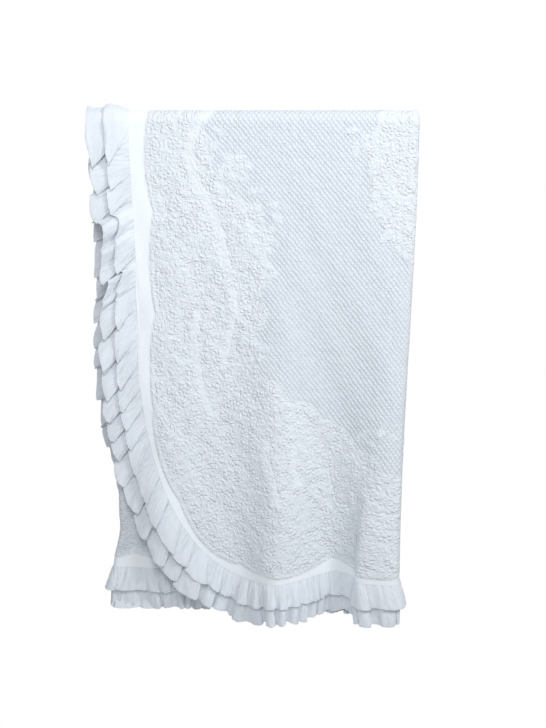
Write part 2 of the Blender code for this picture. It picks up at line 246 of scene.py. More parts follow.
# Fine relief of the ruffle's cotton. The threads are drawn at 1.6 mm instead of the real
# 0.3 mm so that they show close up.
CREASE_HEIGHT = 0.0024
CRUMPLE_HEIGHT = 0.0052
THREAD_PITCH = 0.0016
THREAD_HEIGHT = 0.00004

# Lights: name, place, what it points at, size
LIGHTS = (
    ("key", (-0.15, -2.05, 0.8), (0.0, 0.0, -0.35), 1.1),
    ("side", (2.2, -1.8, 1.25), (0.0, 0.0, -0.6), 0.8),
    ("back", (-0.9, 2.6, 1.6), (0.0, 0.0, -0.6), 1.6),
)
CAMERA_PLACE = (0.0, -2.577, -0.282)
CAMERA_DOWN = math.radians(7.7)
FLOOR_RADIUS = 1.25


class BedspreadSizes(bpy.types.PropertyGroup):
    """Sizes of the quilting and the ruffles."""
    puff: bpy.props.FloatProperty(
        name="Puff", description="Height of the quilted flowers and leaves", default=0.0024,
        precision=4, unit="LENGTH")
    diamond_width: bpy.props.FloatProperty(
        name="Diamond width", description="Width of one diamond of the field", default=0.0124,
        precision=4, unit="LENGTH")
    diamond_height: bpy.props.FloatProperty(
        name="Diamond height", description="Height of one diamond of the field", default=0.0148,
        precision=4, unit="LENGTH")
    stitch_relief: bpy.props.FloatProperty(
        name="Stitch relief", description="Depth of the fine woven stitches", default=0.0014,
        precision=4, unit="LENGTH")
    fan_pitch: bpy.props.FloatProperty(
        name="Edge stitch pitch", description="Distance between the stitches along the scallops",
        default=0.0085, precision=4, unit="LENGTH")
    stitch_pitch: bpy.props.FloatProperty(
        name="Stitch pitch", description="Distance between the rings of woven stitches",
        default=0.0112, precision=4, unit="LENGTH")
    rosette: bpy.props.FloatProperty(
        name="Rosette", description="Size of one woven rosette between the flowers",
        default=0.037, precision=3, unit="LENGTH")
    ruffle_thickness: bpy.props.FloatProperty(
        name="Ruffle thickness", description="Thickness of the ruffle's cotton", default=0.0008,
        precision=4, unit="LENGTH")
    hem_width: bpy.props.FloatProperty(
        name="Hem width", description="Width of the ruffle's narrow rolled hem",
        default=0.0045, precision=4, unit="LENGTH")


class BedspreadColours(bpy.types.PropertyGroup):
    """Colours of the cottons."""
    panel: bpy.props.StringProperty(
        name="Panel", description="sRGB colour of the quilted cotton", default="#EDF3F9")
    # The groove colour is painted shade: it darkens the panel between the puffs and over the
    # quilted ground, and the ruffle's hem stitching
    groove: bpy.props.StringProperty(
        name="Groove", description="sRGB colour deep between the quilted puffs",
        default="#C3CCD7")
    ruffle: bpy.props.StringProperty(
        name="Ruffle", description="sRGB colour of the ruffle's cotton", default="#E1E8F0")
    # The hem colour is the doubled cloth's white and a painted highlight along the ruffle's rolled
    # hem
    hem: bpy.props.StringProperty(
        name="Hem", description="sRGB colour of the doubled cloth in the hem",
        default="#EFF4FB")
    floor: bpy.props.StringProperty(
        name="Floor", description="sRGB colour of the studio floor", default="#FCFCFC")


class BedspreadStage(bpy.types.PropertyGroup):
    """The floor, the lights and the camera."""
    floor_height: bpy.props.FloatProperty(
        name="Floor height", description="Height of the floor below the top edge",
        default=-2.3, unit="LENGTH")
    key_power: bpy.props.FloatProperty(
        name="Key light", description="Power of the soft light above the camera",
        default=25.0, unit="POWER")
    side_power: bpy.props.FloatProperty(
        name="Side light", description="Power of the light at the upper right", default=48.0,
        unit="POWER")
    back_power: bpy.props.FloatProperty(
        name="Back light", description="Power of the light on the back half", default=40.0,
        unit="POWER")
    surround: bpy.props.FloatProperty(
        name="Surround", description="Brightness of the white room around the cloth",
        default=0.45)
    lens: bpy.props.FloatProperty(
        name="Lens", description="Focal length on a 36 mm sensor", default=50.6, unit="CAMERA")


def ease(low, high, value):
    """Return 0 at low, 1 at high and a soft step between; high may be the smaller."""
    share = np.clip((value - low) / (high - low), 0.0, 1.0)
    return share * share * (3 - 2 * share)


def blend(first, second, share):
    return first + (second - first) * share


def bell(distance, width):
    """Return a soft hump that is 1 at no distance and falls away over the width."""
    return np.exp(-(distance / width) ** 2)


def swell(x, drop, side):
    """Return how far the soft folds push the outermost layer outwards."""
    total = np.zeros_like(x)
    for facing, folds in ((-1, FRONT_FOLDS), (1, BACK_FOLDS)):
        for crest, left_width, right_width, height, start in folds:
            width = np.where(x < crest, left_width, right_width)
            hump = height * bell(x - crest, width) * ease(start, FOLDS_FULL, drop)
            total += np.where(side == facing, hump, 0.0)
    return total


def section(s, drop, side):
    """Return x, depth in layer gaps, share of the soft folds and hem lift at width s."""
    fall = ease(0.0, FALL, drop)
    seam = SEAM_X + SEAM_DRIFT * ease(0.05, 0.35, drop)
    seam = seam + np.where(side > 0, BACK_SEAM_DRIFT * ease(0.0, 0.6, drop), 0.0)
    right_bulge = blend(*RIGHT_BULGE, fall)
    left_bulge = blend(*LEFT_BULGE, fall)
    turn_right = RIGHT_X + RIGHT_DRIFT * fall - right_bulge
    turn_left = LEFT_X + LEFT_DRIFT * fall + left_bulge
    right_angle = (s - S_RIGHT) / RIGHT_TURN * math.pi
    left_angle = (s - S_LEFT) / LEFT_TURN * math.pi
    right_turned = (1 - np.cos(right_angle)) / 2
    left_turned = (1 - np.cos(left_angle)) / 2
    front = np.maximum(s, 0.0) / FRONT_WIDTH
    middle = (s - S_MIDDLE) / MIDDLE_WIDTH
    last = np.minimum((s - S_LAST) / LAST_WIDTH, 1.0)
    zones = [s < S_RIGHT, s < S_MIDDLE, s < S_LEFT, s < S_LAST]
    x = np.select(zones, [blend(seam, turn_right, front) + np.minimum(s, 0.0),
                          turn_right + right_bulge * np.sin(right_angle),
                          blend(turn_right, turn_left, middle),
                          turn_left - left_bulge * np.sin(left_angle)],
                  blend(turn_left, LAST_END_X, last) + np.maximum(s - S_END, 0.0))
    depth = np.select(zones, [2.0, 2 - 2 * right_turned, 0.0, left_turned], 1.0)
    share = np.select(zones, [1.0, blend(1.0, MIDDLE_SHARE, right_turned), MIDDLE_SHARE,
                              blend(MIDDLE_SHARE, LAST_SHARE, left_turned)], LAST_SHARE)
    lift = np.select(zones, [0.0, 0.0, middle, 1.0], 1.0)
    return x, depth, share, lift


def hang(s, t):
    """Return the points of the hung cloth at widths s and lengths t from the top line."""
    side = np.where(t >= 0, -1.0, 1.0)
    length = np.abs(t)
    drop = np.maximum(length - ARC, 0.0)
    x, depth, share, lift = section(s, drop, side)
    gap = blend(GAP_TOP, GAP_LOW, ease(0.0, FALL, drop))
    out = ROD_RADIUS + depth * gap + share * swell(x, drop, side)
    for height, across, down, phase in RIPPLES:
        wave = np.sin(2 * math.pi * (across * x + down * drop) + phase)
        out = out + height * wave * ease(0.02, 0.30, drop)
    rise = np.where(side < 0, FRONT_LIFT, BACK_LIFT) * lift
    hitched = HITCH_RISE * bell(x - HITCH_X, HITCH_WIDTH) * ease(0.6, 1.1, drop)
    rise = rise + np.where((side < 0) & (s < S_RIGHT), hitched, 0.0)
    spread = ease(S_LEFT - 0.09, S_LEFT, s) * ease(S_LAST + 0.09, S_LAST, s)
    x = x - FOOT_SPREAD * spread * ease(FOOT_START, FOOT_FULL, drop)
    lean_s, lean, lean_width = FOLD_OVER
    folded = lean * bell(s - lean_s, lean_width) * ease(LEAN_START, LEAN_FULL, drop)
    x = x - np.where((side < 0) & (s < S_RIGHT), folded, 0.0)
    falling = np.stack([x, side * out, AXIS_Z - drop * (1 - rise / HALF_LENGTH)], axis=-1)
    angle = length / ARC * math.pi / 2
    radius = ROD_RADIUS + depth * GAP_TOP
    bent = np.stack([x, side * radius * np.sin(angle), AXIS_Z + radius * np.cos(angle)], axis=-1)
    return np.where((length <= ARC)[..., None], bent, falling)


def face_normal(s, t):
    """Return the unit normals on the cloth's face side."""
    step = 0.0006
    along = hang(s + step, t) - hang(s - step, t)
    down = hang(s, t + step) - hang(s, t - step)
    normal = np.cross(down, along)
    return normal / np.linalg.norm(normal, axis=-1, keepdims=True)


def half_limit(s):
    """Return the panel's half length at width s, shorter at the rounded corners."""
    edge = np.minimum(s, S_END - s)
    share = np.clip(1 - edge / CORNER_WIDE, 0.0, 1.0)
    return HALF_LENGTH - CORNER_TALL * (1 - np.sqrt(1 - share * share))


CORNER_LEVEL = HALF_LENGTH - CORNER_TALL
CORNER_ANGLES = np.linspace(0, math.pi / 2, 400)
CORNER_STEPS = np.hypot(np.diff(CORNER_WIDE * np.cos(CORNER_ANGLES)),
                        np.diff(CORNER_TALL * np.sin(CORNER_ANGLES)))
CORNER_ARCS = np.concatenate([[0.0], np.cumsum(CORNER_STEPS)])
QUARTER_EDGE = CORNER_LEVEL + CORNER_ARCS[-1] + S_END / 2 - CORNER_WIDE
SCALLOP = QUARTER_EDGE / SCALLOP_COUNT


def border_place(a, b):
    """Return each point's distance in from the panel's edge and its place along the edge."""
    p = np.clip(1 - a / CORNER_WIDE, 0.0, None)
    q = np.clip((b - CORNER_LEVEL) / CORNER_TALL, 0.0, None)
    reach = np.maximum(np.hypot(p, q), 1e-6)
    slope = np.maximum(np.hypot(p / CORNER_WIDE, q / CORNER_TALL) / reach, 1e-6)
    cornered = (p > 0) & (q > 0)
    inwards = np.where(cornered, (1 - reach) / slope, np.minimum(a, HALF_LENGTH - b))
    arc = np.interp(np.arctan2(q, p), CORNER_ANGLES, CORNER_ARCS)
    past = CORNER_LEVEL + CORNER_ARCS[-1] + a - CORNER_WIDE
    along = np.where(cornered, CORNER_LEVEL + arc, np.where(a < HALF_LENGTH - b, b, past))
    return inwards, along


def scallop_limit(along):
    """Return how far in from the edge the scalloped quilting starts."""
    round_corner = ease(0.60, 0.80, along)
    hemwards = ease(1.15, 1.45, along)
    deep = blend(SIDE_SCALLOP, HEM_SCALLOP, hemwards) * (1 - 0.3 * round_corner)
    arch = np.abs(np.sin(math.pi * along / SCALLOP)) ** 0.8
    return blend(SIDE_MARGIN, HEM_MARGIN, round_corner) + deep * (1 - arch)


def flower_relief(a, b, row):
    """Return a flower's height, as a share of the puff, and where it covers the cloth."""
    centre_a, centre_b, radius, petals, turn = row
    across, down = a - centre_a, b - centre_b
    distance = np.hypot(across, down) / radius
    beat = np.cos(np.arctan2(down, across) * petals / 2 + turn)
    outline = 0.72 + 0.28 * np.abs(beat)
    dome = np.sqrt(np.clip(1 - (distance / outline) ** 2, 0.0, 1.0))
    parting = bell(beat, 0.28) * ease(0.20, 0.45, distance)
    petal = dome * (1 - 0.75 * parting)
    eye = np.sqrt(np.clip(1 - (distance / 0.24) ** 2, 0.0, 1.0))
    collar = bell(distance - 0.27, 0.06)
    return np.maximum(petal * (1 - 0.8 * collar), 1.15 * eye), ease(1.02, 0.92, distance / outline)


def leaf_relief(a, b, place, heading, length):
    """Return a pointed leaf's height, with a vein down its middle, and its cover."""
    across, down = a - place[0], b - place[1]
    u = (across * math.cos(heading) + down * math.sin(heading)) / length
    v = (down * math.cos(heading) - across * math.sin(heading)) / length
    half = 0.24 * np.sqrt(np.clip(1 - (2 * u - 1) ** 2, 0.0, 1.0)) * (1.15 - 0.4 * u)
    dome = np.sqrt(np.clip(1 - (v / np.maximum(half, 1e-4)) ** 2, 0.0, 1.0))
    dome = np.where((u > 0) & (u < 1), dome, 0.0)
    return dome * (1 - 0.55 * bell(v, 0.045)), dome > 0.05


def spray_points(row, count):
    """Return points and headings along a bowed stem."""
    start_a, start_b, end_a, end_b, bow, leaves = row
    share = np.linspace(0, 1, count)
    chord = np.array([end_a - start_a, end_b - start_b])
    normal = np.array([-chord[1], chord[0]]) / np.linalg.norm(chord)
    base = np.array([start_a, start_b]) + share[:, None] * chord
    points = base + (bow * 4 * share * (1 - share))[:, None] * normal
    slope = chord + (bow * 4 * (1 - 2 * share))[:, None] * normal
    return points, np.arctan2(slope[:, 1], slope[:, 0])


def add_relief(height, cover, new_height, new_cover, rows):
    """Lay one motif over what the chosen points already hold."""
    height[rows] = np.maximum(height[rows], new_height)
    cover[rows] = np.maximum(cover[rows], new_cover)


def near(a, b, place, reach):
    return np.nonzero((np.abs(a - place[0]) < reach) & (np.abs(b - place[1]) < reach))[0]


def quilting(s, t):
    """Return the relief as a share of the puff, the masks of the woven grounds, and the weight of
    the painted shade over the quilted ground.
    """
    a = np.clip(np.minimum(s, S_END - s), 0.0, None)
    b = np.abs(t)
    inwards, along = border_place(a, b)
    inside = inwards - scallop_limit(along)
    ground = ease(-0.002, 0.005, inside)

    ribbon = np.zeros_like(a)
    for width, knots in RIBBONS:
        levels, centres = zip(*knots)
        offset = np.abs(a - np.interp(b, levels, centres))
        within = ease(levels[0] - 0.001, levels[0] + 0.02, b) if levels[0] > 0 else 1.0
        within = within * ease(levels[-1], levels[-1] - 0.02, b)
        ribbon = np.maximum(ribbon, ease(width / 2 + 0.003, width / 2 - 0.002, offset) * within)

    centre_a, centre_b, half_width, half_height = WREATH
    ring = np.hypot((a - centre_a) / half_width, (b - centre_b) / half_height)
    bloom = ease(1.04, 0.98, ring)
    limits, starts = zip(*FIELD_LIMIT)
    limit = np.interp(b, limits, starts)
    uneven = 0.013 * np.sin(70 * b + 22 * a) + 0.009 * np.sin(47 * a - 31 * b)
    field = ease(-0.004, 0.004, a - limit + uneven) * (1 - bloom) * ground * (1 - ribbon)

    height = np.zeros_like(a)
    cover = np.zeros_like(a)
    for k in range(SCALLOP_COUNT):
        middle = edge_place((k + 0.5) * SCALLOP, 0.088)
        rows = near(a, b, middle, 0.05)
        flower = (*middle, 0.036, 6, 0.4 * k)
        add_relief(height, cover, *flower_relief(a[rows], b[rows], flower), rows)
    for row in FLOWERS:
        rows = near(a, b, row[:2], 1.1 * row[2])
        add_relief(height, cover, *flower_relief(a[rows], b[rows], row), rows)
    for row in SPRAYS:
        leaves = row[-1]
        points, headings = spray_points(row, leaves)
        for i in range(leaves):
            lean = math.radians(48) * (1 if i % 2 else -1)
            size = 0.034 + 0.008 * math.sin(2.3 * i)
            rows = near(a, b, points[i], 1.1 * size)
            leaf = leaf_relief(a[rows], b[rows], points[i], headings[i] + lean, size)
            add_relief(height, cover, *leaf, rows)
    height = height * (1 - ribbon) * ground
    cover = cover * (1 - ribbon) * ground
    field = field * (1 - cover)

    groove = bell(ribbon - 0.5, 0.22)
    rings = sum(bell(ring - radius, 0.035) for radius in WREATH_RINGS)
    edge_roll = bell(inside - 0.004, 0.004)
    raised = 0.35 * ground + 0.65 * height + 0.30 * ribbon - 0.45 * groove * ground
    raised = raised + 0.35 * rings * ground + 0.25 * edge_roll
    fan = ease(0.001, 0.004, inside) * ease(FAN_WIDTH, FAN_WIDTH - 0.004, inside)
    rosettes = ground * (1 - field) * (1 - 0.50 * ribbon) * (1 - 0.28 * cover) * (1 - 0.5 * fan)
    # Weight of the painted shade over the whole quilted ground, heavier on the flowers
    painted_shade_weight = ground * (1 + 0.6 * cover)
    return raised, field * (1 - fan), rosettes, 0.7 * fan, painted_shade_weight, along


def edge_place(along, inwards):
    """Return the flat point at a place along one quarter of the edge and a distance in."""
    if along < CORNER_LEVEL:
        return inwards, along
    past = along - CORNER_LEVEL - CORNER_ARCS[-1]
    if past > 0:
        return CORNER_WIDE + past, HALF_LENGTH - inwards
    angle = float(np.interp(along - CORNER_LEVEL, CORNER_ARCS, CORNER_ANGLES))
    normal = Vector((math.cos(angle) / CORNER_WIDE, math.sin(angle) / CORNER_TALL)).normalized()
    return (CORNER_WIDE * (1 - math.cos(angle)) + inwards * normal.x,
            CORNER_LEVEL + CORNER_TALL * math.sin(angle) - inwards * normal.y)


def spaced(first, last, step):
    """Return evenly spaced values from first up to, and without, last."""
    count = max(round((last - first) / step), 1)
    return np.linspace(first, last, count, endpoint=False)


def cloth_mesh(name, columns, rows):
    """Return a mesh grid and the column and row number of each of its points."""
    shape = bmesh.new()
    bmesh.ops.create_grid(shape, x_segments=columns, y_segments=rows, size=1.0)
    mesh = bpy.data.meshes.new(name)
    shape.to_mesh(mesh)
    shape.free()
    flat = np.zeros(len(mesh.vertices) * 3, np.float32)
    mesh.vertices.foreach_get("co", flat)
    flat = flat.reshape(-1, 3)
    column = np.rint((flat[:, 0] + 1) / 2 * columns).astype(int)
    row = np.rint((flat[:, 1] + 1) / 2 * rows).astype(int)
    return mesh, column, row


def finish_cloth(mesh, points, uvs, masks, material, thickness=0.0, closed=False):
    """Place the grid's points, give it its maps and material, and return its object."""
    mesh.vertices.foreach_set("co", points.astype(np.float32).ravel())
    for name, uv in uvs.items():
        layer = mesh.uv_layers.get(name) or mesh.uv_layers.new(name=name)
        index = np.zeros(len(mesh.loops), np.int32)
        mesh.loops.foreach_get("vertex_index", index)
        layer.data.foreach_set("uv", uv[index].astype(np.float32).ravel())
    for name, values in masks.items():
        mask = mesh.attributes.new(name, "FLOAT", "POINT")
        mask.data.foreach_set("value", values.astype(np.float32))
    shape = bmesh.new()
    shape.from_mesh(mesh)
    if closed:
        bmesh.ops.remove_doubles(shape, verts=shape.verts, dist=0.00005)
    bmesh.ops.recalc_face_normals(shape, faces=shape.faces)
    shape.to_mesh(mesh)
    shape.free()
    mesh.shade_smooth()
    piece = bpy.data.objects.new(mesh.name, mesh)
    bpy.context.scene.collection.objects.link(piece)
    mesh.materials.append(material)
    if thickness:
        skin = piece.modifiers.new("cloth thickness", "SOLIDIFY")
        skin.thickness = thickness
        skin.offset = 0
    return piece


def face_outwards(piece):
    """Turn the sheet's faces so that the front half looks towards the viewer."""
    mesh = piece.data
    normals = np.zeros(len(mesh.polygons) * 3, np.float32)
    centres = np.zeros(len(mesh.polygons) * 3, np.float32)
    mesh.polygons.foreach_get("normal", normals)
    mesh.polygons.foreach_get("center", centres)
    normals, centres = normals.reshape(-1, 3), centres.reshape(-1, 3)
    shown = centres[:, 1] < -ROD_RADIUS - GAP_TOP
    if normals[shown, 1].sum() > 0:
        mesh.flip_normals()


def edge_path():
    """Return the panel's edge as closely spaced s, t and cumulative length, once round."""
    side = np.stack([np.zeros(180), np.linspace(0, CORNER_LEVEL, 180, endpoint=False)], 1)
    angle = np.linspace(0, math.pi / 2, 240, endpoint=False)
    corner = np.stack([CORNER_WIDE * (1 - np.cos(angle)),
                       CORNER_LEVEL + CORNER_TALL * np.sin(angle)], 1)
    hem = np.stack([np.linspace(CORNER_WIDE, S_END / 2, 561), np.full(561, HALF_LENGTH)], 1)
    quarter = np.concatenate([side, corner, hem])
    front = np.concatenate([quarter, (quarter[1:-1] * (-1, 1) + (S_END, 0))[::-1], [[S_END, 0]]])
    loop = np.concatenate([front, (front[1:-1] * (1, -1))[::-1], front[:1]])
    steps = np.hypot(*np.diff(loop, axis=0).T)
    return loop, np.concatenate([[0.0], np.cumsum(steps)])


EDGE, EDGE_LENGTHS = edge_path()
EDGE_TOTAL = EDGE_LENGTHS[-1]


def on_edge(where):
    """Return s and t at distances along the panel's edge."""
    where = np.mod(where, EDGE_TOTAL)
    return np.interp(where, EDGE_LENGTHS, EDGE[:, 0]), np.interp(where, EDGE_LENGTHS, EDGE[:, 1])


def pleat_starts():
    """Return where each pleat starts along the edge, unevenly spaced, once round."""
    starts = list(FIRST_PLEATS)
    while starts[-1] < EDGE_TOTAL + FIRST_PLEATS[0]:
        s = float(on_edge(starts[-1])[0])
        shown = s < S_RIGHT or S_LAST < s < S_LAST + LAST_SHOWN
        k = len(starts)
        uneven = sum(share * math.sin(rate * k + phase) for share, rate, phase in WIDTH_WAVES)
        starts.append(starts[-1] + (SHOWN_PITCH if shown else HIDDEN_PITCH) * (1 + uneven))
    last = FIRST_PLEATS[-1]
    stretch = (EDGE_TOTAL + FIRST_PLEATS[0] - last) / (starts[-1] - last)
    return [start if start <= last else last + (start - last) * stretch for start in starts]


def curve_through(rows, count):
    """Return points evenly spaced in turn along a smooth curve through the rows."""
    rows = np.array(rows)
    ends = np.concatenate([[2 * rows[0] - rows[1]], rows, [2 * rows[-1] - rows[-2]]])
    place = np.linspace(0, len(rows) - 1, count, endpoint=False)
    i = place.astype(int)
    u = (place - i)[:, None]
    before, first, second, after = ends[i], ends[i + 1], ends[i + 2], ends[i + 3]
    return 0.5 * (2 * first + (second - before) * u
                  + (2 * before - 5 * first + 4 * second - after) * u ** 2
                  + (3 * first - before - 3 * second + after) * u ** 3)


def wave_height(s, t):
    """Return how high the pleats stand at the hem, towards the outer side of the stack."""
    inwards = s - S_LAST
    near_turn = np.maximum(ease(S_MIDDLE + 0.08, S_MIDDLE, s), ease(S_LEFT - 0.08, S_LEFT, s))
    last_hem = blend(-TURN_WAVE, LAST_WAVE, ease(0.0, 0.07, inwards))
    last_hem = last_hem * blend(1.0, 0.5, ease(0.16, 0.26, inwards))
    last_side = blend(*LAST_SIDE_WAVE, ease(0.1, 1.0, np.abs(t)))
    zones = [s < S_RIGHT, s < S_MIDDLE, s < S_LEFT, s < S_LAST, np.abs(t) > HALF_LENGTH - 0.1]
    tucked = 1 - 0.65 * bell(s - RECESS_S, 0.045) * (t > HALF_LENGTH - 0.1)
    return np.select(zones, [
        blend(SHOWN_WAVE, RIGHT_TURN_WAVE, ease(S_RIGHT - 0.06, S_RIGHT, s)) * tucked,
        blend(RIGHT_TURN_WAVE, RIGHT_INNER_WAVE, ease(S_RIGHT, S_MIDDLE, s)),
        blend(HIDDEN_WAVE, TURN_WAVE, near_turn),
        blend(TURN_WAVE, -TURN_WAVE, ease(S_LEFT, S_LAST, s)), last_hem], last_side)


def fan_out(s, t):
    """Return how far sideways the ruffles fan out where a fold reaches the hem."""
    left = ease(S_LEFT - 0.050, S_LEFT, s) * ease(S_LAST + 0.050, S_LAST, s)
    right = ease(S_RIGHT - 0.060, S_RIGHT + 0.010, s) * ease(S_MIDDLE + 0.050, S_MIDDLE - 0.010, s)
    return np.where(np.abs(t) < HALF_LENGTH - 0.01, 0.0, RIGHT_FLARE * right - LEFT_FLARE * left)


def pleats():
    """Return each column's place along the edge at head and hem, height and reach."""
    starts = pleat_starts()
    knife = curve_through(SIDE_KNIFE, PLEAT_SAMPLES)
    flute = curve_through(HEM_FLUTE, PLEAT_SAMPLES)
    twisted = curve_through(TWISTED, PLEAT_SAMPLES)
    mean, swing, rate, phase = VIGOUR_WAVE
    columns = []
    chance = np.random.default_rng(5).random((len(starts) + 1, 4))
    spread = np.linspace(0, 1, PLEAT_SAMPLES, endpoint=False)
    for k in range(len(starts) - 1):
        begin, end = starts[k], starts[k + 1]
        t = float(on_edge((begin + end) / 2)[1])
        hemmed = abs(t) > HALF_LENGTH - 0.03
        strength = TWISTED_STARTS.get(begin, 0.0)
        shape = (flute if hemmed else twisted if strength else knife).copy()
        shape[:, 1] *= (strength or 1.0) * (mean + swing * math.sin(rate * k + phase))
        if hemmed:
            first, second = HEM_HEIGHT[0] + HEM_HEIGHT[1] * chance[k, :2]
            shape[:, 1] *= blend(first, second, spread)
        elif not strength:
            shape[:, 1] *= SIDE_HEIGHT[0] + SIDE_HEIGHT[1] * chance[k, 0]
        uneven = REACH_WAVE * math.sin(3.7 * k + 1.0) + REACH_CHANCE * (chance[k, 2] - 0.5)
        shape[:, 2] *= 1 + uneven
        warp = FOLD_WANDER * (2 * chance[k, 3] - 1) * np.sin(2 * math.pi * spread)
        shape[:, 0] = blend(begin, end, shape[:, 0] + warp)
        columns.append(np.column_stack([blend(begin, end, spread), shape]))
    return np.concatenate(columns)


def edge_frame(where):
    """Return s, t and the directions out of the panel and towards the hem at the edge."""
    s, t = on_edge(where)
    run = np.stack(on_edge(where + 0.004)) - np.stack(on_edge(where - 0.004))
    run = run / np.linalg.norm(run, axis=0)
    out = np.stack([-run[1], run[0]])
    upright = 1 - np.abs(out[1])
    turn = DROOP * upright * ease(0.04, 0.34, np.abs(t)) * np.sign(t) * np.where(out[0] > 0, -1, 1)
    hemward = np.stack([out[0] * np.cos(turn) + out[1] * np.sin(turn),
                        out[1] * np.cos(turn) - out[0] * np.sin(turn)])
    return s, t, out, hemward, upright


def pleat_reach(where, t, upright, reach, upper, flute_phase):
    """Return how far each point's column reaches, as a share of the tier's depth."""
    if not upper:
        # The lower tier's hem shows below the upper one's also where a pleat is drawn in
        reach = reach + 0.5 * np.clip(0.86 - reach, 0.0, None)
    near_bend = 1 - ease(0.0, 0.3, np.abs(t))
    reach = reach * (1 + upright * (BEND_REACH * near_bend + CORNER_REACH * (1 - upright)))
    return reach * (1 + 0.02 * np.sin(where * 31.0) + 0.015 * np.sin(where * 83.0 + flute_phase))


def tier_rise(s, t, where, level, height, depth, step_hem, flute_phase):
    """Return how far a tier's points stand off the panel's face, level being 0 at its head and
    1 at its hem."""
    upper = depth == UPPER_DEPTH
    # The third layer's side is pressed between the others
    pressed = (s >= S_LAST) & (np.abs(t) <= HALF_LENGTH - 0.1)
    loose = np.where(pressed, blend(0.5, 1.0, ease(0.1, 0.9, np.abs(t))), 1.0)
    hemwards = ease(HALF_LENGTH - 0.35, HALF_LENGTH - 0.02, np.abs(t))

    away = level * depth / LOWER_DEPTH
    clear = ease(STAND_START, STAND_FULL, away)
    stand = wave_height(s, t) * height * depth / LOWER_DEPTH * blend(0.62, 1.0, hemwards)
    lifted = level ** 0.9 + 0.10 * np.sin(math.pi * level)
    rise = stand * clear * lifted + step_hem * loose * level

    turns = 2 * math.pi * where / GATHER_PITCH + 1.4 * np.sin(where * 37.0)
    gathers = GATHER_HEIGHT * np.sin(turns) * (0.65 + 0.35 * np.sin(where * 23.0))
    rise = rise + gathers * clear * ease(0.50, 0.07, away)

    sway = SWAY * np.sin(where * 61.0 + 1.3 * np.sin(where * 19.0)) * level * level
    turns = 2 * math.pi * (where + sway) / FLUTE_PITCH + flute_phase + 1.9 * np.sin(where * 17.0)
    flutes = 1 - 2 * np.abs(np.sin(turns)) ** 0.7
    rise = rise + FLUTE_HEIGHT * flutes * level * np.where(pressed, 0.3, 1.0)

    curl = (UPPER_CURL if upper else LOWER_CURL) * hemwards * level ** 2
    rolled = TOP_ROLL * bell(t, TOP_ROLL_REACH) * ease(0.0, 0.55, level) * (s < 0.01)
    head_depth = UPPER_HEAD_DEPTH if upper else LOWER_HEAD_DEPTH
    return rise - head_depth * (1 - level) + curl + rolled


def tier(name, depth, step_hem, rows_across, flute_phase, material, sizes):
    """Make one tier of the ruffle as a gathered strip round the panel's edge."""
    at_head, at_hem, height, reach = pleats().T
    hem_share = sizes.hem_width / depth
    seam = (HEAD_TUCK + EDGE_OVERLAP + 0.0005) / depth
    levels = np.concatenate([[0.0], np.linspace(seam, 1 - hem_share, rows_across),
                             [1 - 0.5 * hem_share, 1.0]])
    count, steps = len(at_head), len(levels)
    mesh, column, row = cloth_mesh(name, count, steps - 1)
    column = column % count
    level = levels[row]
    where = blend(at_head[column], at_hem[column], level)
    s, t, out, hemward, upright = edge_frame(where)

    reach = pleat_reach(where, t, upright, reach[column], depth == UPPER_DEPTH, flute_phase)
    far = depth * reach * level - HEAD_TUCK * (1 - level)
    point_s = s + out[0] * SEAM_GAP * level + hemward[0] * far
    point_t = t + out[1] * SEAM_GAP * level + hemward[1] * far
    rise = tier_rise(s, t, where, level, height[column], depth, step_hem, flute_phase)
    points = hang(point_s, point_t) + face_normal(point_s, point_t) * rise[:, None]
    points[:, 0] += fan_out(s, t) * level

    last = row == steps - 1
    loop = points[last][np.argsort(column[last], kind="stable")]
    cloth_length = float(np.linalg.norm(np.diff(loop, axis=0), axis=1).sum())
    uv = np.stack([column * cloth_length / count, level * depth], 1)
    # Painted highlight: the rolled hem takes the lighter hem colour
    hem_roll_and_highlight = ease(1 - hem_share, 1 - 0.6 * hem_share, level)
    piece = finish_cloth(mesh, points, {"cloth": uv}, {"hem": hem_roll_and_highlight}, material,
                         sizes.ruffle_thickness, True)
    return piece, cloth_length


def linear(hex_colour):
    """Turn an sRGB hex value into a linear colour with full alpha."""
    parts = [int(hex_colour[i:i + 2], 16) / 255 for i in (1, 3, 5)]
    return [c / 12.92 if c <= 0.04045 else ((c + 0.055) / 1.055) ** 2.4 for c in parts] + [1.0]


def add(tree, kind, inputs=(), **settings):
    """Add a node with its settings, and set or link each named or numbered input."""
    node = tree.nodes.new(kind)
    for name, value in settings.items():
        setattr(node, name, value)
    for socket, value in dict(inputs).items():
        if isinstance(value, bpy.types.NodeSocket):
            tree.links.new(value, node.inputs[socket])
        else:
            node.inputs[socket].default_value = value
    return node


def calc(tree, operation, *values, clamp=False):
    """Add a Math node on the values and return its output."""
    inputs = dict(enumerate(values))
    return add(tree, "ShaderNodeMath", inputs, operation=operation, use_clamp=clamp).outputs[0]


def new_material(name, roughness, sheen):
    """Return a material with its tree and shader, set for dull woven cotton."""
    material = bpy.data.materials.new(name)
    material.use_nodes = True
    tree = material.node_tree
    shader = tree.nodes["Principled BSDF"]
    shader.inputs["Roughness"].default_value = roughness
    shader.inputs["IOR"].default_value = 1.47
    shader.inputs["Specular IOR Level"].default_value = 0.25
    shader.inputs["Sheen Weight"].default_value = sheen
    shader.inputs["Sheen Roughness"].default_value = 0.6
    return material, tree, shader


